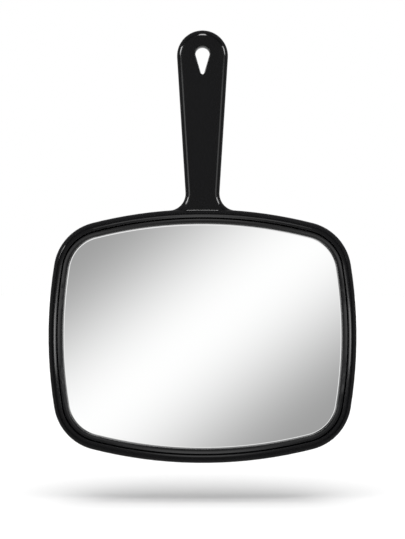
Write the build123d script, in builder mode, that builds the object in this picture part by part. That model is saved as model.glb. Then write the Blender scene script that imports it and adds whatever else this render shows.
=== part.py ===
"""Salon hand mirror: two black shells with a hollow handle, a clipped bezel ring and a bevelled glass.

Millimetres. +Z points up the handle and -Y is the front, where the glass is. The origin is in the
hanging hole, at the centre of the arc that bears on a hook. Heights are measured from the plane y = 0
towards the front, so the back of the mirror has negative heights.
"""

import os
from math import asin, cos, degrees, radians, sin, sqrt, tan

from build123d import *

# Outline of the head: a barrel rectangle whose four sides are arcs of one radius
HEAD_WIDTH = 190.0
HEAD_HEIGHT = 156.5
SIDE_RADIUS = 277.0
CORNER_RADIUS = 31.6

# Outline of the handle
OVERALL_HEIGHT = 267.0
HANDLE_END_RADIUS = 15.75
HANDLE_TAPER = 3.56  # degrees, each side
NECK_RADIUS = 10.5

# Hanging hole, a teardrop: a round top, and straight sides from it down to a small round tip
HOLE_RADIUS = 4.45
HOLE_DEPTH = 20.3  # top of the hole to where the straight sides would meet
HOLE_TIP_RADIUS = 1.1
HOLE_TOP_MARGIN = 10.0  # top of the handle to top of the hole
HOLE_EDGE_RADIUS = 0.7
HOLE_WALL = 1.8

# Heights, towards the front
BACK = -5.5
PARTING = -1.0
HANDLE_FRONT = 5.5
BORDER_FRONT = 7.8  # where the rounded edge would level out, and the top of the bezel's bead
GLASS_THICKNESS = 2.0
TAPE_THICKNESS = 1.0
FOAM_THICKNESS = 2.0
GLASS_FRONT = 5.2  # the bezel's underside is at the same height

# Insets from the outer edge of the head
BEZEL_SEAT = 2.4
BEZEL_OUTER = 2.5
BEAD_CREST_INSET = 5.0
BEAD_INNER = 5.15
GROOVE_INSET = 5.65
BAND_OUTER = 6.1
BAND_CREST_INSET = 7.0
BEZEL_INNER = 9.0
HOOK_OUTER = 3.2
HOOK_INNER = 4.3
POCKET_WALL = 5.0
GLASS_POCKET = 6.9
GLASS_EDGE = 7.3
SEAT_INNER = 11.0
FOAM_EDGE = 12.0

# Bezel's section, a bead outside a groove and a band: heights above its underside, and roundings
BEAD_SPRING = 1.9
BEAD_CREST = 2.6
GROOVE_BOTTOM = 1.2
BAND_OUTER_TOP = 2.02
BAND_CREST = 2.05
BAND_INNER_TOP = 1.91
BEAD_EDGE_RADIUS = 0.18
BAND_EDGE_RADIUS = 0.25
LIP_RADIUS = 0.25

# Walls, roundings and small features
SKIN = 2.2
HANDLE_EDGE_RADIUS = 4.5
BACK_EDGE_RADIUS = 4.0
BORDER_EDGE_RADIUS = 5.0
COVE_RADIUS = 1.0
COVE_BITE = 0.02  # how far the cove's ends sink below the surfaces it joins
COVE_ROOT = 0.4
COVE_HALF_WIDTH = 9.8
SEAM_CHAMFER = 0.25
HOOK_CHAMFER = 0.4
BEVEL_WIDTH = 2.7
BEVEL_DROP = 0.3
SEAT_THICKNESS = 1.8
LIP_HEIGHT = 1.0
LIP_OUTER = 1.2
LIP_INNER = 2.1
LIP_CLEARANCE = 0.1
RIB = 1.5
HEAD_RIB_PITCH = 25.0
RIB_COUNT = 7
PIN_RADIUS = 1.5
PIN_CLEARANCE = 0.04
POST_RADIUS = 3.2
SOCKET_DEPTH = 2.6
PIN_LENGTH = 2.3
PIN_CHAMFER = 0.4
HOOK_LENGTH = 8.0
HOOK_REACH = 2.8  # below the bezel's underside
HOOK_BARB = 0.45
HOOK_CLEARANCE = 0.15
TAPE_WIDTH = 3.0
TAPE_OUTER = 7.6
TAPE_LENGTH = 112.0
TAPE_SIDE_LENGTH = 78.0
TOLERANCE = 0.01

HANDLE_TOP = HOLE_RADIUS + HOLE_TOP_MARGIN
HEAD_Z = HANDLE_TOP - OVERALL_HEIGHT + HEAD_HEIGHT / 2
HEAD_TOP = HEAD_Z + HEAD_HEIGHT / 2
GLASS_BACK = GLASS_FRONT - GLASS_THICKNESS
SEAT_FRONT = GLASS_BACK - TAPE_THICKNESS
FOAM_BACK = GLASS_BACK - FOAM_THICKNESS
COVER_INSIDE = BACK + SKIN
SHELL_INSIDE = HANDLE_FRONT - SKIN
SEAT_BACK = SEAT_FRONT - SEAT_THICKNESS
RIB_BACK = PARTING + LIP_HEIGHT + LIP_CLEARANCE
SLOT_LENGTH = HOOK_LENGTH + 2 * HOOK_CLEARANCE

# Places that repeat, in the plane of the mirror
HOOK_X = (-50.0, 0.0, 50.0)
HOOK_Z = (HEAD_Z - 30.0, HEAD_Z + 30.0)
HANDLE_PINS = [(0.0, -24.0), (0.0, -58.0), (0.0, -84.0)]
HANDLE_RIBS = [-33.0, -45.0, -69.0]
HEAD_PINS = [
    (side * x, HEAD_Z + level * z)
    for side in (-1, 1)
    for level in (-1, 1)
    for x, z in ((28.0, 68.4), (85.2, 22.0))
]


def front(height):
    """Plane parallel to the glass, with its normal towards the front."""
    return Plane.XZ.offset(height)


def head(inset=0.0):
    """The head's outline, set in from its outer edge."""
    rise = HEAD_HEIGHT / 2 - SIDE_RADIUS
    reach = HEAD_WIDTH / 2 - SIDE_RADIUS
    centres = [(0, HEAD_Z + rise), (0, HEAD_Z - rise), (reach, HEAD_Z), (-reach, HEAD_Z)]
    with BuildSketch(mode=Mode.PRIVATE) as outline:
        for number, centre in enumerate(centres):
            with Locations(centre):
                Circle(SIDE_RADIUS - inset, mode=Mode.INTERSECT if number else Mode.ADD)
        fillet(outline.vertices(), CORNER_RADIUS - inset)
    return outline.sketch


def silhouette(inset=0.0):
    """The outline of the head and handle together, set in from its outer edge."""
    centre = Vector(0, HANDLE_TOP - HANDLE_END_RADIUS)
    tangent = centre + Vector(HANDLE_END_RADIUS - inset, 0).rotate(Axis.Z, -HANDLE_TAPER)
    root_z = HEAD_TOP - NECK_RADIUS - inset
    root = Vector(tangent.X - (tangent.Y - root_z) * tan(radians(HANDLE_TAPER)), root_z)
    with BuildSketch(mode=Mode.PRIVATE) as outline:
        add(head(inset))
        with BuildLine():
            ThreePointArc(tangent, (0, HANDLE_TOP - inset), (-tangent.X, tangent.Y))
            Polyline((-tangent.X, tangent.Y), (-root.X, root.Y), root, tangent)
        make_face()
        fillet(outline.vertices().sort_by_distance((0, HEAD_TOP))[:2], NECK_RADIUS + inset)
    return outline.sketch


def hanging_hole(margin=0.0):
    """The hanging hole's outline, grown outwards by the margin."""
    arc = HOLE_RADIUS + margin
    side = asin(HOLE_RADIUS / (HOLE_DEPTH - HOLE_RADIUS))
    point = Vector(0, -arc / sin(side))
    shoulder = Vector(arc * cos(side), -arc * sin(side))
    with BuildSketch(mode=Mode.PRIVATE) as outline:
        with BuildLine():
            ThreePointArc(shoulder, (0, arc), (-shoulder.X, shoulder.Y))
            Polyline((-shoulder.X, shoulder.Y), point, shoulder)
        make_face()
        fillet(outline.vertices().sort_by(Axis.Y)[0], HOLE_TIP_RADIUS + margin)
    return outline.sketch


def border():
    """The front half of the head, solid, with its rounded edge."""
    with BuildPart(mode=Mode.PRIVATE) as block:
        with BuildSketch(front(PARTING)):
            add(head())
        extrude(amount=BORDER_FRONT - PARTING)
        fillet(front_edges(block), BORDER_EDGE_RADIUS)
    return block.part


def neck_cove():
    """A small cove along the foot of the head's rounded edge, across the front of the handle."""
    rise = HANDLE_FRONT - BORDER_FRONT + BORDER_EDGE_RADIUS
    reach = sqrt((BORDER_EDGE_RADIUS + COVE_RADIUS) ** 2 - (rise + COVE_RADIUS) ** 2)
    middle = Vector(BORDER_EDGE_RADIUS - reach, HANDLE_FRONT + COVE_RADIUS)
    share = BORDER_EDGE_RADIUS / (BORDER_EDGE_RADIUS + COVE_RADIUS)
    top = Vector(BORDER_EDGE_RADIUS - reach * share, HANDLE_FRONT - rise + (rise + COVE_RADIUS) * share)
    half_turn = degrees(asin(COVE_HALF_WIDTH / SIDE_RADIUS))
    axis = Axis((0, 0, HEAD_TOP - SIDE_RADIUS), (0, 1, 0))
    with BuildPart(mode=Mode.PRIVATE) as cove:
        for turn in (-half_turn, half_turn):
            with BuildSketch(Plane(origin=(0, 0, HEAD_TOP), x_dir=(0, 0, -1), z_dir=(-1, 0, 0))):
                with BuildLine():
                    Polyline(
                        (middle.X, HANDLE_FRONT - COVE_ROOT),
                        (middle.X, HANDLE_FRONT),
                        (top.X, top.Y),
                        (top.X + COVE_ROOT, top.Y - COVE_ROOT),
                        close=True,
                    )
                make_face()
                with Locations((middle.X + COVE_BITE, middle.Y - COVE_BITE)):
                    Circle(COVE_RADIUS, mode=Mode.SUBTRACT)
            revolve(axis=axis, revolution_arc=turn)
    return cove.part


def bezel_section():
    """The bezel's section: X is the inset from the head's edge and Y the height above the underside."""
    with BuildSketch(mode=Mode.PRIVATE) as section:
        with BuildLine():
            bead = TangentArc((BEAD_CREST_INSET, BEAD_CREST), (BEZEL_OUTER, BEAD_SPRING), tangent=(-1, 0))
            band = ThreePointArc(
                (BAND_OUTER, BAND_OUTER_TOP),
                (BAND_CREST_INSET, BAND_CREST),
                (BEZEL_INNER, BAND_INNER_TOP),
            )
            Polyline(bead @ 0, (BEAD_INNER, BEAD_CREST), (GROOVE_INSET, GROOVE_BOTTOM), band @ 0)
            Polyline(band @ 1, (BEZEL_INNER, 0), (BEZEL_OUTER, 0), bead @ 1)
        make_face()
        for corner, radius in (
            ((BEAD_INNER, BEAD_CREST), BEAD_EDGE_RADIUS),
            ((BAND_OUTER, BAND_OUTER_TOP), BAND_EDGE_RADIUS),
            ((BEZEL_INNER, BAND_INNER_TOP), LIP_RADIUS),
        ):
            fillet(section.vertices().sort_by_distance(corner)[0], radius)
    return section.sketch


def ring(outer, inner):
    """The band of the head between two insets."""
    with BuildSketch(mode=Mode.PRIVATE) as band:
        add(head(outer))
        add(head(inner), mode=Mode.SUBTRACT)
    return band.sketch


def hook_band(outer, inner, length):
    """The parts of a band of the head where the bezel's hooks stand."""
    with BuildSketch(mode=Mode.PRIVATE) as band:
        with Locations(*[(x, HEAD_Z) for x in HOOK_X]):
            Rectangle(length, HEAD_HEIGHT)
        with Locations(*[(0, z) for z in HOOK_Z]):
            Rectangle(HEAD_WIDTH, length)
        add(ring(outer, inner), mode=Mode.INTERSECT)
    return band.sketch


def head_ribs():
    """A grid of ribs behind the foam."""
    with BuildSketch(mode=Mode.PRIVATE) as ribs:
        with GridLocations(HEAD_RIB_PITCH, 0, RIB_COUNT, 1):
            with Locations((0, HEAD_Z)):
                Rectangle(RIB, HEAD_HEIGHT)
        with GridLocations(0, HEAD_RIB_PITCH, 1, RIB_COUNT):
            with Locations((0, HEAD_Z)):
                Rectangle(HEAD_WIDTH, RIB)
        add(head(FOAM_EDGE), mode=Mode.INTERSECT)
    return ribs.sketch


def tape_strips():
    """Four strips of tape on the seat, one along each side of the head."""
    with BuildSketch(mode=Mode.PRIVATE) as strips:
        Rectangle(TAPE_LENGTH, HEAD_HEIGHT)
        Rectangle(HEAD_WIDTH, TAPE_SIDE_LENGTH)
        add(ring(TAPE_OUTER, TAPE_OUTER + TAPE_WIDTH).moved(Location((0, -HEAD_Z))), mode=Mode.INTERSECT)
    return strips.sketch.moved(Location((0, HEAD_Z)))


def across(path):
    """Plane square to a path round the head at its start: X points inwards and Y to the front."""
    start = path @ 0
    inwards = Vector(0, start.Y, HEAD_Z) - start
    tangent = inwards.cross(Vector(0, -1, 0))
    side = 1 if (path % 0).dot(tangent) > 0 else -1
    return Plane(origin=start, x_dir=inwards, z_dir=(path % 0) * side)


def handle_ribs():
    """Ribs across the inside of the handle, between the two long walls."""
    with BuildSketch(mode=Mode.PRIVATE) as ribs:
        with Locations(*[(0, z) for z in HANDLE_RIBS]):
            Rectangle(HANDLE_END_RADIUS * 2, RIB)
        add(silhouette(SKIN / 2), mode=Mode.INTERSECT)
    return ribs.sketch


def front_face(part):
    """The face furthest to the front."""
    return part.faces().sort_by(Axis.Y)[0]


def front_edges(part):
    """The edges of the face furthest to the front."""
    return front_face(part).edges()


def edges_at(part, height):
    """The edges that lie in the plane at a height."""
    return [edge for edge in part.edges() if abs(edge.bounding_box().min.Y + height) < TOLERANCE
            and abs(edge.bounding_box().max.Y + height) < TOLERANCE]


def outer_edges(part, height):
    """The longest closed run of edges at a height: the outer outline there."""
    return Wire.combine(edges_at(part, height)).sort_by(SortBy.LENGTH)[-1].edges()


def hole_edges(part, height):
    """The edges of the hanging hole's outline at a height."""
    box = hanging_hole().bounding_box()
    return [edge for edge in edges_at(part, height) if abs(edge.center().X) < box.max.X + TOLERANCE
            and box.min.Y - TOLERANCE < edge.center().Z < box.max.Y + TOLERANCE]


os.makedirs("parts", exist_ok=True)

# Front shell: the front half of the handle, the head's border, and the ledge and pocket for the glass
with BuildPart() as front_shell:
    with BuildSketch(front(PARTING)):
        add(silhouette())
    extrude(amount=HANDLE_FRONT - PARTING)
    fillet(front_edges(front_shell), HANDLE_EDGE_RADIUS)
    add(border())
    add(neck_cove())
    chamfer(outer_edges(front_shell, PARTING), SEAM_CHAMFER)

    # Hollow from behind, with a wall round the hanging hole and a rebate for the rear shell's lip
    with BuildSketch(front(PARTING)):
        add(silhouette(SKIN))
        add(hanging_hole(HOLE_WALL), mode=Mode.SUBTRACT)
    extrude(amount=SHELL_INSIDE - PARTING, mode=Mode.SUBTRACT)
    with BuildSketch(front(PARTING)):
        add(silhouette(LIP_OUTER - LIP_CLEARANCE))
        add(silhouette(SKIN), mode=Mode.SUBTRACT)
    extrude(amount=LIP_HEIGHT + LIP_CLEARANCE, mode=Mode.SUBTRACT)

    # Wall round the glass, with the seat at its foot
    with BuildSketch(front(SEAT_BACK)):
        add(ring(POCKET_WALL, SEAT_INNER))
    extrude(amount=SHELL_INSIDE - SEAT_BACK)
    with BuildSketch(front(GLASS_FRONT)):
        add(head(BEZEL_SEAT))
    extrude(amount=BORDER_FRONT - GLASS_FRONT, mode=Mode.SUBTRACT)
    with BuildSketch(front(SEAT_FRONT)):
        add(head(GLASS_POCKET))
    extrude(amount=GLASS_FRONT - SEAT_FRONT, mode=Mode.SUBTRACT)

    # Slots for the bezel's hooks, posts with sockets for the rear shell's pins, and stiffening ribs
    with BuildSketch(front(SHELL_INSIDE)):
        add(hook_band(HOOK_OUTER - HOOK_CLEARANCE, HOOK_INNER + HOOK_CLEARANCE, SLOT_LENGTH))
    extrude(amount=GLASS_FRONT - SHELL_INSIDE, mode=Mode.SUBTRACT)
    with BuildSketch(front(PARTING)):
        with Locations(*HANDLE_PINS):
            Circle(POST_RADIUS)
    extrude(amount=SHELL_INSIDE - PARTING)
    with BuildSketch(front(PARTING)):
        with Locations(*HEAD_PINS):
            Circle(POST_RADIUS)
    extrude(amount=SEAT_BACK - PARTING)
    with BuildSketch(front(PARTING)):
        with Locations(*HANDLE_PINS, *HEAD_PINS):
            Circle(PIN_RADIUS + PIN_CLEARANCE)
    extrude(amount=SOCKET_DEPTH, mode=Mode.SUBTRACT)
    with BuildSketch(front(RIB_BACK)):
        add(handle_ribs())
    extrude(amount=SHELL_INSIDE - RIB_BACK)

    with BuildSketch(front(PARTING)):
        add(hanging_hole())
    extrude(amount=HANDLE_FRONT - PARTING, mode=Mode.SUBTRACT)
    fillet(hole_edges(front_shell, HANDLE_FRONT), HOLE_EDGE_RADIUS)

front_shell.part.label = "front_shell"
export_step(front_shell.part, "parts/front_shell.step")

# Rear shell: the back of the head and handle, with a lip that seats in the front shell
with BuildPart() as rear_shell:
    with BuildSketch(front(BACK)):
        add(silhouette())
    extrude(amount=PARTING - BACK)
    fillet(outer_edges(rear_shell, BACK), BACK_EDGE_RADIUS)
    chamfer(outer_edges(rear_shell, PARTING), SEAM_CHAMFER)
    with BuildSketch(front(COVER_INSIDE)):
        add(silhouette(SKIN))
        add(hanging_hole(HOLE_WALL), mode=Mode.SUBTRACT)
    extrude(amount=PARTING - COVER_INSIDE, mode=Mode.SUBTRACT)
    with BuildSketch(front(COVER_INSIDE)):
        add(silhouette(LIP_OUTER))
        add(silhouette(LIP_INNER), mode=Mode.SUBTRACT)
    extrude(amount=PARTING + LIP_HEIGHT - COVER_INSIDE)

    # Ribs behind the foam and across the handle
    with BuildSketch(front(COVER_INSIDE)):
        add(head_ribs())
    extrude(amount=FOAM_BACK - COVER_INSIDE)
    with BuildSketch(front(COVER_INSIDE)):
        add(handle_ribs())
    extrude(amount=PARTING - COVER_INSIDE)

    # Pins that press into the front shell, each on a boss
    with BuildSketch(front(COVER_INSIDE)):
        with Locations(*HANDLE_PINS, *HEAD_PINS):
            Circle(POST_RADIUS)
    extrude(amount=PARTING - COVER_INSIDE)
    with BuildSketch(front(PARTING)):
        with Locations(*HANDLE_PINS, *HEAD_PINS):
            Circle(PIN_RADIUS)
    extrude(amount=PIN_LENGTH)
    chamfer(edges_at(rear_shell, PARTING + PIN_LENGTH), PIN_CHAMFER)

    with BuildSketch(front(BACK)):
        add(hanging_hole())
    extrude(amount=PARTING - BACK, mode=Mode.SUBTRACT)
    fillet(hole_edges(rear_shell, BACK), HOLE_EDGE_RADIUS)

rear_shell.part.label = "rear_shell"
export_step(rear_shell.part, "parts/rear_shell.step")

# Bezel ring: a bead and a band run round the glass, and hooks below snap through the front shell's ledge
with BuildPart() as bezel_ring:
    with BuildLine() as bezel_path:
        add(front(GLASS_FRONT) * head().wire())
    with BuildSketch(across(bezel_path.wires()[0])):
        add(bezel_section())
    sweep(path=bezel_path.wires()[0])
    with BuildSketch(front(GLASS_FRONT)):
        add(hook_band(HOOK_OUTER, HOOK_INNER, HOOK_LENGTH))
    extrude(amount=-HOOK_REACH)
    with BuildSketch(front(SHELL_INSIDE)):
        add(hook_band(HOOK_OUTER - HOOK_BARB, HOOK_INNER, HOOK_LENGTH))
    extrude(amount=GLASS_FRONT - HOOK_REACH - SHELL_INSIDE)
    chamfer(edges_at(bezel_ring, GLASS_FRONT - HOOK_REACH), HOOK_CHAMFER)
bezel_ring.part.label = "bezel_ring"
export_step(bezel_ring.part, "parts/bezel_ring.step")

# Mirror glass: a pane with a polished bevel round its front
with BuildPart() as mirror_glass:
    with BuildSketch(front(GLASS_BACK)):
        add(head(GLASS_EDGE))
    extrude(amount=GLASS_THICKNESS)
    chamfer(front_edges(mirror_glass), BEVEL_WIDTH, BEVEL_DROP, reference=front_face(mirror_glass))
mirror_glass.part.label = "mirror_glass"
export_step(mirror_glass.part, "parts/mirror_glass.step")

# Mounting tape: a strip on each side of the seat, between the corners
with BuildPart() as mounting_tape:
    with BuildSketch(front(SEAT_FRONT)):
        add(tape_strips())
    extrude(amount=TAPE_THICKNESS)
mounting_tape.part.label = "mounting_tape"
export_step(mounting_tape.part, "parts/mounting_tape.step")

# Foam pad: a sheet between the glass and the rear shell's ribs
with BuildPart() as foam_pad:
    with BuildSketch(front(FOAM_BACK)):
        add(head(FOAM_EDGE))
    extrude(amount=FOAM_THICKNESS)
foam_pad.part.label = "foam_pad"
export_step(foam_pad.part, "parts/foam_pad.step")
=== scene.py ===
"""Looks of the salon hand mirror: gloss black plastic, a bevelled mirror, and the studio round them."""

import math

import bmesh
import bpy
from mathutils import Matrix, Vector


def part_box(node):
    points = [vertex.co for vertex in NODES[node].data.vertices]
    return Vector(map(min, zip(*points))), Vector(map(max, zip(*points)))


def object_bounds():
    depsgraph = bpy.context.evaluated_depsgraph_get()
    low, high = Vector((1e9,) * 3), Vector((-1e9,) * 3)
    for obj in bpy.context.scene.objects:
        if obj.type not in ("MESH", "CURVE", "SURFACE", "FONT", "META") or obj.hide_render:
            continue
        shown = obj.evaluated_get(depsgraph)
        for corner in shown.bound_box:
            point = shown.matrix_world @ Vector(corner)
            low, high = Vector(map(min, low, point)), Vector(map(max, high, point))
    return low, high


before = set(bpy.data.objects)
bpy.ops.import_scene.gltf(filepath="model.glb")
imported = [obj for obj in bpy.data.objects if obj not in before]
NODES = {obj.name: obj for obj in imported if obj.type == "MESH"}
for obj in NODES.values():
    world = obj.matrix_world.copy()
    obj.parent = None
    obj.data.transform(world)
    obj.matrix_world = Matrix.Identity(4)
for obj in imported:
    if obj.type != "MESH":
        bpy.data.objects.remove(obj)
CAD_LOW, CAD_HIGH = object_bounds()
MIDDLE = (CAD_LOW + CAD_HIGH) / 2
GLASS_LOW, GLASS_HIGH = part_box("mirror_glass")
GLASS_FACE = GLASS_LOW.y
GLASS_MIDDLE_Z = (GLASS_LOW.z + GLASS_HIGH.z) / 2
SHELLS = ("front_shell", "rear_shell")
BEZEL = ("bezel_ring",)
GLASS = ("mirror_glass",)

# Camera, in metres: a long lens level with a point a little below the middle of the object
LENS = 100.0
SENSOR = 36.0
VIEW_HEIGHT = 0.3306  # height of the view at the object
VIEW_DROP = 0.0142  # middle of the view below the middle of the object
VIEW_END = 60.0

# Floor, backdrop and surround, in metres
FLOOR_GAP = 0.0240  # below the object
FLOOR_RADIUS = 7.0
FLOOR_SIDES = 96
BACKDROP_RADIUS = 9.0
BACKDROP_COLUMNS = 48
BACKDROP_ROWS = 24
SURROUND_GREY = 0.18

# Glowing sheets parallel to the mirror, in metres
SHEET_WIDTH = 7.0
SHEET_HEIGHT = 5.0

# The card that the mirror shows, in metres. Outwards from its middle it has one ridge of light, then a plain
# ring, then wide ridges
CARD_DISTANCE = 1.6  # in front of the mirror
RIDGE_ANGLE = 39.0  # degrees from level
RIDGE_HALF_WIDTH = 0.0927  # at the mirror
RIDGE_POINT = (0.0014, -0.0374)  # at the mirror, from the middle of the view
RIDGE_GLOW = (0.36, 1.03)  # beside the ridge and along it
RING_RADII = (0.34, 0.46)  # where the ridge gives way to the ring
RING_GLOW = 0.9
WIDE_RADII = (0.85, 1.05)  # where the ring gives way to the wide ridges
WIDE_HALF_WIDTH = 0.8
WIDE_GLOW = (0.4, 0.95)

# Panels that glow round a place, which is in metres from the Z axis level with the middle of the object. The
# glow is full inside the first radius and none outside the second
FRONT_PLACE = (0, -1.5, 0)
FRONT_GLOW = 0.22
FRONT_RADII = (0.9, 3.0)
BACK_PLACE = (0.35, 1.5, -0.15)
BACK_GLOW = 0.65
BACK_RADII = (0.05, 1.2)

# Bars of light for the bezel, in metres
BAR_GAP = 0.01  # between the front panel and the bars
BAR_GLOW = 1.25
BAR_REACH = (0.05, 0.2, 0.6, 0.9)  # distances from the middle where a bar starts, is full, wanes and ends
BAR_EDGES = (0.054, 0.144)  # distances from a bar's own middle line where it wanes and ends

# Softboxes: name, degrees round from the front and up from level, then distance, width and height in metres,
# then radiance, the right box's share of it, and the nodes lit. A pair has one box on each side
BOTH_SIDES = (-1, 1)
FRONT_PAIRS = (
    ("bezel_box", 31, -5.7, 1.0, 0.30, 0.12, 4.5, 1.0, BEZEL),
    ("line_box", 57, -8.0, 1.0, 0.40, 0.24, 4.4, 0.75, SHELLS),
    ("faint_box", 57, 4.5, 1.0, 0.40, 0.24, 1.5, 0.75, SHELLS),
    ("handle_box", 58, 22.0, 3.2, 1.80, 1.00, 12.0, 0.75, SHELLS),
)
FRONT_BOXES = (
    ("brow_box", 0, 33.0, 1.5, 0.70, 0.40, 1.1, 1.0, BEZEL),
    ("top_box", 0, 48.0, 1.5, 0.25, 0.45, 12.0, 1.0, SHELLS),
)
BACK_PAIRS = (("back_box", 125, 8.0, 1.6, 0.60, 1.00, 8.0, 1.0, ("rear_shell",)),)
BACK_BOXES = (("back_top_box", 180, 50.0, 1.6, 0.80, 0.50, 10.0, 1.0, ("rear_shell",)),)

# Suns: name, spread in degrees, strength, and lean towards the camera in degrees
SUNS = (("overhead", 60, 2.5, 14), ("haze", 96, 1.55, 10))

# Patterns of the materials. A noise is its features per metre and its detail. Stops are values and their
# colours. A range turns values between its first two numbers into values between its last two. A bump is a
# depth in metres and a strength
NOISE_ROUGHNESS = 0.55

# Gloss black plastic: tone, handling haze, hairline scratches, orange peel and a finer grain. Each node has
# its own material, whose seed turns the patterns so that no two are the same
PLASTICS = (
    ("front_shell", "plastic_front_shell", 0.4),
    ("rear_shell", "plastic_rear_shell", 1.7),
    ("bezel_ring", "plastic_bezel", 2.9),
)
TONE_NOISE = (14.0, 3.0)
TONE_STOPS = ((0.3, (0.0020, 0.0020, 0.0024)), (0.7, (0.0032, 0.0032, 0.0038)))
HAZE_NOISE = (32.0, 5.0)
HAZE_RANGE = (0.35, 0.75, 0.085, 0.150)
HAIRLINE_NOISE = (1500.0, 2.0)
HAIRLINE_STRETCH = (1, 1, 0.02)
HAIRLINE_TURN = (0.3, 0.5, 0.9)
HAIRLINE_RANGE = (0.70, 0.78, 0.0, 0.10)
PEEL_NOISE = (420.0, 2.0)
PEEL_BUMP = (0.00002, 0.35)
GRAIN_NOISE = (2600.0, 2.0)
GRAIN_BUMP = (0.000004, 0.3)
PLASTIC_IOR = 1.5

# Mirror: wiped haze in its roughness, and dust in its colour
WIPE_NOISE = (26.0, 4.0)
WIPE_STRETCH = (1, 1, 0.25)
WIPE_TURN = (0, 0.6, 0)
WIPE_RANGE = (0.45, 0.8, 0.0, 0.018)
DUST_NOISE = (2400.0, 1.0)
DUST_STOPS = ((0.70, (0.965, 0.968, 0.966)), (0.80, (0.93, 0.935, 0.932)))

# Tape, foam and the floor's paper
TAPE_NOISE = (1800.0, 4.0)
TAPE_STOPS = ((0.3, (0.62, 0.61, 0.57)), (0.7, (0.78, 0.77, 0.73)))
TAPE_BUMP = (0.0001, 0.4)
TAPE_ROUGHNESS = 0.8
FOAM_CELLS = 1400.0
FOAM_STOPS = ((0.1, (0.02, 0.02, 0.02)), (0.6, (0.06, 0.06, 0.06)))
FOAM_BUMP = (0.0003, 0.6)
FOAM_ROUGHNESS = 0.92
PAPER_NOISE = (3.0, 3.0)
PAPER_STOPS = ((0.3, (0.90, 0.90, 0.90)), (0.7, (0.92, 0.92, 0.92)))
PAPER_ROUGHNESS = 0.9


# ---------------------------------------------------------------- node helpers
def new_material(name):
    """A material, its node tree and its Principled shader."""
    material = bpy.data.materials.new(name)
    material.use_nodes = True
    tree = material.node_tree
    return material, tree, tree.nodes["Principled BSDF"]


def node(tree, kind, settings=None, **inputs):
    """Adds a node. Settings are its properties. Inputs are its sockets, by name or as an underscore and a
    number, and each is given a value or an output socket."""
    made = tree.nodes.new(kind)
    for key, value in (settings or {}).items():
        setattr(made, key, value)
    for key, value in inputs.items():
        socket = made.inputs[int(key[1:]) if key[0] == "_" else key]
        if isinstance(value, bpy.types.NodeSocket):
            tree.links.new(value, socket)
        else:
            socket.default_value = value
    return made


def position(tree, scale=(1, 1, 1), turn=(0, 0, 0)):
    """The point's place in the object's own frame, scaled and turned."""
    coordinates = node(tree, "ShaderNodeTexCoord")
    mapping = node(tree, "ShaderNodeMapping", Vector=coordinates.outputs["Object"])
    mapping.inputs["Scale"].default_value = scale
    mapping.inputs["Rotation"].default_value = turn
    return mapping.outputs["Vector"]


def world_point(tree):
    """The point's place in the scene."""
    return node(tree, "ShaderNodeNewGeometry").outputs["Position"]


def noise(tree, vector, scale, detail):
    inputs = {"Vector": vector, "Scale": scale, "Detail": detail, "Roughness": NOISE_ROUGHNESS}
    return node(tree, "ShaderNodeTexNoise", **inputs).outputs["Fac"]


def remap(tree, value, low, high, to_low, to_high):
    """Turns values from low to high into values from to_low to to_high, and holds them there."""
    made = node(tree, "ShaderNodeMapRange", Value=value)
    for key, number in (("From Min", low), ("From Max", high), ("To Min", to_low), ("To Max", to_high)):
        made.inputs[key].default_value = number
    return made.outputs["Result"]


def ramp(tree, value, stops):
    """Colours by value, between the two stops that a new ramp has."""
    made = node(tree, "ShaderNodeValToRGB", Fac=value)
    for element, (place, colour) in zip(made.color_ramp.elements, stops):
        element.position = place
        element.color = (*colour, 1)
    return made.outputs["Color"]


def maths(tree, operation, first, second=0.0):
    return node(tree, "ShaderNodeMath", {"operation": operation}, _0=first, _1=second).outputs["Value"]


def vector_maths(tree, operation, first, second):
    """A number worked out from two vectors."""
    made = node(tree, "ShaderNodeVectorMath", {"operation": operation}, _0=first, _1=second)
    return made.outputs["Value"]


def mix(tree, share, first, second):
    """A number between two others. Sockets 0, 2 and 3 of a Mix node are those for numbers."""
    return node(tree, "ShaderNodeMix", _0=share, _2=first, _3=second).outputs[0]


def bump(tree, height, distance, strength, normal=None):
    made = node(tree, "ShaderNodeBump", Height=height, Distance=distance, Strength=strength)
    if normal is not None:
        tree.links.new(normal, made.inputs["Normal"])
    return made.outputs["Normal"]


# ---------------------------------------------------------------- materials
def gloss_black(name, seed):
    """Moulded gloss black plastic, with faint orange peel, handling haze and hairline scratches."""
    material, tree, shader = new_material(name)
    place = position(tree, turn=(seed, seed * 2, seed * 3))
    tree.links.new(ramp(tree, noise(tree, place, *TONE_NOISE), TONE_STOPS), shader.inputs["Base Color"])
    haze = remap(tree, noise(tree, place, *HAZE_NOISE), *HAZE_RANGE)
    turn_x, turn_y, turn_z = HAIRLINE_TURN
    hairline_place = position(tree, HAIRLINE_STRETCH, (turn_x, turn_y, turn_z + seed))
    scratches = remap(tree, noise(tree, hairline_place, *HAIRLINE_NOISE), *HAIRLINE_RANGE)
    tree.links.new(maths(tree, "ADD", haze, scratches), shader.inputs["Roughness"])
    peel = bump(tree, noise(tree, place, *PEEL_NOISE), *PEEL_BUMP)
    grain = bump(tree, noise(tree, place, *GRAIN_NOISE), *GRAIN_BUMP, peel)
    tree.links.new(grain, shader.inputs["Normal"])
    shader.inputs["IOR"].default_value = PLASTIC_IOR
    return material


def mirror_silver(name):
    """Silvered glass: almost perfect, with a trace of wiped haze and dust."""
    material, tree, shader = new_material(name)
    wiped = noise(tree, position(tree, WIPE_STRETCH, WIPE_TURN), *WIPE_NOISE)
    tree.links.new(remap(tree, wiped, *WIPE_RANGE), shader.inputs["Roughness"])
    dust = noise(tree, position(tree), *DUST_NOISE)
    tree.links.new(ramp(tree, dust, DUST_STOPS), shader.inputs["Base Color"])
    shader.inputs["Metallic"].default_value = 1.0
    return material


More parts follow.
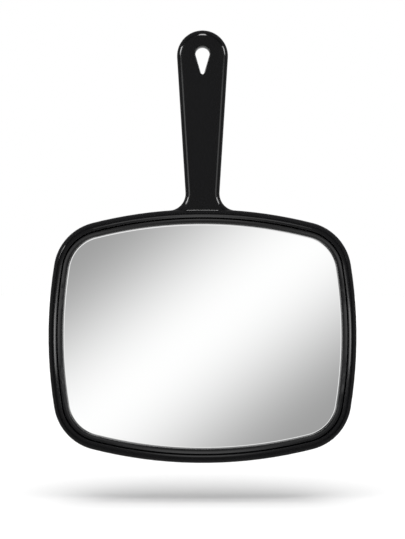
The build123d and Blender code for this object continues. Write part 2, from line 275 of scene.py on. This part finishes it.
def tape_white(name):
    """Double-sided foam tape, off-white with a fine grain."""
    material, tree, shader = new_material(name)
    grain = noise(tree, position(tree), *TAPE_NOISE)
    tree.links.new(ramp(tree, grain, TAPE_STOPS), shader.inputs["Base Color"])
    tree.links.new(bump(tree, grain, *TAPE_BUMP), shader.inputs["Normal"])
    shader.inputs["Roughness"].default_value = TAPE_ROUGHNESS
    return material


def foam_charcoal(name):
    """Closed-cell foam with small pores."""
    material, tree, shader = new_material(name)
    cells = node(tree, "ShaderNodeTexVoronoi", Vector=position(tree), Scale=FOAM_CELLS).outputs["Distance"]
    tree.links.new(ramp(tree, cells, FOAM_STOPS), shader.inputs["Base Color"])
    tree.links.new(bump(tree, cells, *FOAM_BUMP), shader.inputs["Normal"])
    shader.inputs["Roughness"].default_value = FOAM_ROUGHNESS
    return material


def paper_white(name):
    """Matt white paper for the floor."""
    material, tree, shader = new_material(name)
    mottle = noise(tree, position(tree), *PAPER_NOISE)
    tree.links.new(ramp(tree, mottle, PAPER_STOPS), shader.inputs["Base Color"])
    shader.inputs["Roughness"].default_value = PAPER_ROUGHNESS
    shader.inputs["Specular IOR Level"].default_value = 0.0
    return material


def emission(name, see_through=False):
    """A plain white glow for the studio, on a sheet that may let through what is behind it."""
    material = bpy.data.materials.new(name)
    material.use_nodes = True
    tree = material.node_tree
    tree.nodes.clear()
    glow = node(tree, "ShaderNodeEmission", Strength=1.0)
    surface = glow
    if see_through:
        clear = node(tree, "ShaderNodeBsdfTransparent")
        surface = node(tree, "ShaderNodeAddShader", _0=glow.outputs[0], _1=clear.outputs[0])
    node(tree, "ShaderNodeOutputMaterial", Surface=surface.outputs[0])
    return material, tree, glow


def dress(name, material):
    """Gives a CAD node its material."""
    materials = NODES[name].data.materials
    materials.clear()
    materials.append(material)


# ---------------------------------------------------------------- studio
def staged(name, form, material):
    """Turns a bmesh into an object of the studio."""
    mesh = bpy.data.meshes.new(name)
    form.to_mesh(mesh)
    form.free()
    mesh.materials.append(material)
    made = bpy.data.objects.new(name, mesh)
    bpy.context.scene.collection.objects.link(made)
    return made


def seen_only_by(made, *kinds):
    """Hides an object from every kind of ray but these."""
    for kind in ("camera", "diffuse", "glossy", "transmission", "volume_scatter", "shadow"):
        setattr(made, "visible_" + kind, kind in kinds)


def shine_on(light, names):
    """Restricts a light or a glowing sheet to some CAD nodes."""
    receivers = bpy.data.collections.new(light.name + "_receivers")
    for name in names:
        receivers.objects.link(NODES[name])
    light.light_linking.receiver_collection = receivers


def make_floor():
    """A round floor of white paper, kept out of reflections."""
    form = bmesh.new()
    bmesh.ops.create_circle(form, cap_ends=True, radius=FLOOR_RADIUS, segments=FLOOR_SIDES)
    floor = staged("floor", form, paper_white("floor_white"))
    floor.location.z = CAD_LOW.z - FLOOR_GAP
    floor.visible_glossy = False


def make_backdrop():
    """A white sphere round everything, which only the camera sees."""
    form = bmesh.new()
    shape = {"u_segments": BACKDROP_COLUMNS, "v_segments": BACKDROP_ROWS, "radius": BACKDROP_RADIUS}
    bmesh.ops.create_uvsphere(form, **shape)
    seen_only_by(staged("backdrop", form, emission("backdrop_white")[0]), "camera")


def upright_sheet(name, material, level):
    """A large sheet parallel to the mirror, at a place along Y, seen only in reflections."""
    form = bmesh.new()
    bmesh.ops.create_grid(form, x_segments=1, y_segments=1, size=0.5)  # a square with sides of 1
    sheet = staged(name, form, material)
    sheet.rotation_euler.x = math.radians(90)
    sheet.scale = (SHEET_WIDTH, SHEET_HEIGHT, 1)
    sheet.location.y = level
    seen_only_by(sheet, "glossy")
    return sheet


def ridges(tree, phase, dark, light):
    """Soft ridges of light: light where the phase is a whole number of turns, and dark halfway between."""
    return remap(tree, maths(tree, "COSINE", phase), -1.0, 1.0, dark, light)


def make_card(camera):
    """A lit card behind the camera. The mirror shows its soft diagonal ridge of light."""
    to_mirror = GLASS_FACE - camera.location.y
    scale = (to_mirror + CARD_DISTANCE) / to_mirror
    level = GLASS_FACE - CARD_DISTANCE
    angle = math.radians(RIDGE_ANGLE)
    across = Vector((math.sin(angle), 0, -math.cos(angle)))
    start = Vector((RIDGE_POINT[0] * scale, 0, camera.location.z + RIDGE_POINT[1] * scale))
    middle = (0, level, camera.location.z + (GLASS_MIDDLE_Z - camera.location.z) * scale)

    material, tree, glow = emission("card_gradient")
    point = world_point(tree)
    offset = maths(tree, "SUBTRACT", vector_maths(tree, "DOT_PRODUCT", point, across), across.dot(start))
    phase = maths(tree, "MULTIPLY", offset, math.pi / (RIDGE_HALF_WIDTH * scale))
    half_turn = maths(tree, "MINIMUM", maths(tree, "ABSOLUTE", phase), math.pi)
    ridge = ridges(tree, half_turn, *RIDGE_GLOW)
    wide_phase = maths(tree, "MULTIPLY", offset, math.pi / WIDE_HALF_WIDTH)
    wide = ridges(tree, wide_phase, *WIDE_GLOW)
    away = vector_maths(tree, "DISTANCE", point, middle)
    inner = mix(tree, remap(tree, away, *RING_RADII, 0.0, 1.0), ridge, RING_GLOW)
    whole = mix(tree, remap(tree, away, *WIDE_RADII, 0.0, 1.0), inner, wide)
    tree.links.new(whole, glow.inputs["Strength"])
    shine_on(upright_sheet("card", material, level), GLASS)


def make_panel(name, place, strength, radii, receivers):
    """A glow that fades outwards from a place in front of the object or behind it, for the plastic alone."""
    material, tree, glow = emission(name + "_glow", see_through=True)
    middle = Vector((0, 0, MIDDLE.z)) + Vector(place)
    away = vector_maths(tree, "DISTANCE", world_point(tree), middle)
    tree.links.new(remap(tree, away, *radii, strength, 0.0), glow.inputs["Strength"])
    shine_on(upright_sheet(name, material, middle.y), receivers)


def bar(tree, along, across):
    """One pair of soft bars: 1 in their middle, falling to 0 at their ends and sides."""
    start, full, wane, end = BAR_REACH
    rise = remap(tree, along, start, full, 0.0, 1.0)
    fall = remap(tree, along, wane, end, 1.0, 0.0)
    side = remap(tree, across, *BAR_EDGES, 1.0, 0.0)
    return maths(tree, "MULTIPLY", maths(tree, "MULTIPLY", rise, fall), side)


def make_bars():
    """Four soft bars of light round the camera, which the bezel shows along its four sides."""
    material, tree, glow = emission("bar_glow", see_through=True)
    point = node(tree, "ShaderNodeSeparateXYZ", Vector=world_point(tree))
    x = maths(tree, "ABSOLUTE", point.outputs["X"])
    z = maths(tree, "ABSOLUTE", maths(tree, "SUBTRACT", point.outputs["Z"], GLASS_MIDDLE_Z))
    light = maths(tree, "MULTIPLY", maths(tree, "MAXIMUM", bar(tree, x, z), bar(tree, z, x)), BAR_GLOW)
    tree.links.new(light, glow.inputs["Strength"])
    shine_on(upright_sheet("bars", material, FRONT_PLACE[1] + BAR_GAP), BEZEL)


def make_softbox(name, azimuth, elevation, distance, width, height, radiance):
    """A rectangular light aimed at the middle of the object, seen only in reflections."""
    turn = math.radians(azimuth)
    rise = math.radians(elevation)
    towards = Vector((math.sin(turn) * math.cos(rise), -math.cos(turn) * math.cos(rise), math.sin(rise)))
    light = bpy.data.lights.new(name, "AREA")
    light.shape = "RECTANGLE"
    light.size = width
    light.size_y = height
    light.energy = radiance * math.pi * width * height
    made = bpy.data.objects.new(name, light)
    bpy.context.scene.collection.objects.link(made)
    made.location = MIDDLE + towards * distance
    made.rotation_euler = towards.to_track_quat("Z", "Y").to_euler()
    made.visible_camera = False
    made.visible_diffuse = False
    return made


def make_softboxes(boxes, sides=(1,)):
    """Makes the softboxes of a table, once or on both sides."""
    for side in sides:
        for name, azimuth, *shape, radiance, right_share, lit in boxes:
            share = right_share if side > 0 else 1.0
            shine_on(make_softbox(name, side * azimuth, *shape, radiance * share), lit)


def make_sun(name, angle, strength, lean):
    """Light from above that reflections don't show, spread over an angle and leaning towards the camera."""
    light = bpy.data.lights.new(name, "SUN")
    light.angle = math.radians(angle)
    light.energy = strength
    made = bpy.data.objects.new(name, light)
    bpy.context.scene.collection.objects.link(made)
    made.rotation_euler.x = math.radians(lean)
    made.visible_glossy = False


def make_surround():
    """An even grey for reflections, which adds no light to the floor."""
    world = bpy.data.worlds.new("studio")
    world.use_nodes = True
    grey = (SURROUND_GREY, SURROUND_GREY, SURROUND_GREY, 1)
    world.node_tree.nodes["Background"].inputs["Color"].default_value = grey
    bpy.context.scene.world = world
    world.cycles_visibility.diffuse = False


def make_camera():
    """The camera of the front view, level and square to the mirror."""
    data = bpy.data.cameras.new("camera")
    data.lens = LENS
    data.sensor_width = SENSOR
    data.clip_end = VIEW_END
    camera = bpy.data.objects.new("camera", data)
    bpy.context.scene.collection.objects.link(camera)
    camera.location = (MIDDLE.x, CAD_LOW.y - VIEW_HEIGHT * LENS / SENSOR, MIDDLE.z - VIEW_DROP)
    camera.rotation_euler = (math.radians(90), 0, 0)
    bpy.context.scene.camera = camera
    return camera


for node_name, material_name, seed in PLASTICS:
    dress(node_name, gloss_black(material_name, seed))
dress("mirror_glass", mirror_silver("silvered_glass"))
dress("mounting_tape", tape_white("tape_white"))
dress("foam_pad", foam_charcoal("foam_charcoal"))

front_camera = make_camera()
make_floor()
make_backdrop()
make_card(front_camera)
make_surround()
make_panel("front_panel", FRONT_PLACE, FRONT_GLOW, FRONT_RADII, SHELLS + BEZEL)
make_panel("back_panel", BACK_PLACE, BACK_GLOW, BACK_RADII, ("rear_shell",))
make_bars()
make_softboxes(FRONT_PAIRS, BOTH_SIDES)
make_softboxes(FRONT_BOXES)
make_softboxes(BACK_PAIRS, BOTH_SIDES)
make_softboxes(BACK_BOXES)
for sun in SUNS:
    make_sun(*sun)
bpy.context.scene.view_settings.view_transform = "Standard"
